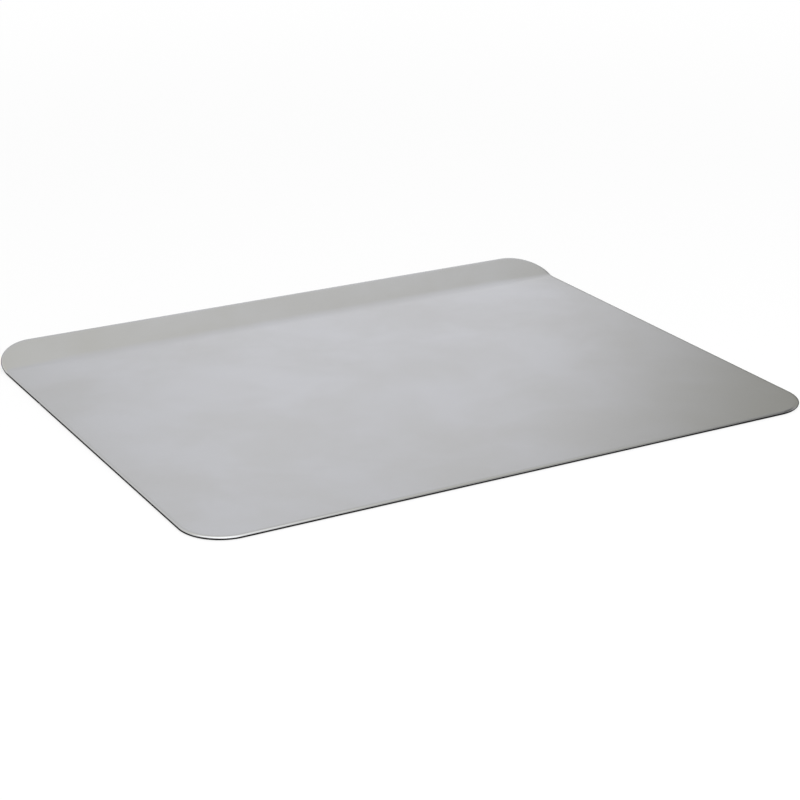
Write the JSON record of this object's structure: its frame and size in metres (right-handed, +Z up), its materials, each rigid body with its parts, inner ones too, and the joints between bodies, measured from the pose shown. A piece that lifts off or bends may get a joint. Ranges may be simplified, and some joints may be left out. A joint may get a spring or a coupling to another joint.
{
  "type": "cookie sheet",
  "caption": "Flat rectangular metal baking sheet with rounded corners, a rounded hemmed rim all round and a low raised lip along the back.",
  "frame": {"origin": "centre of the underside of the whole sheet's box, on the surface that its hem stands on", "axes": "+X along the raised lip, which is the long way; +Y from the front edge to the raised lip; +Z up"},
  "size_m": [0.457, 0.3546, 0.0122],
  "materials": {
    "satin_steel": "satin stainless steel with a polished rim"
  },
  "bodies": {
    "root": {"baking_sheet": "satin_steel"}
  },
  "joints": []
}
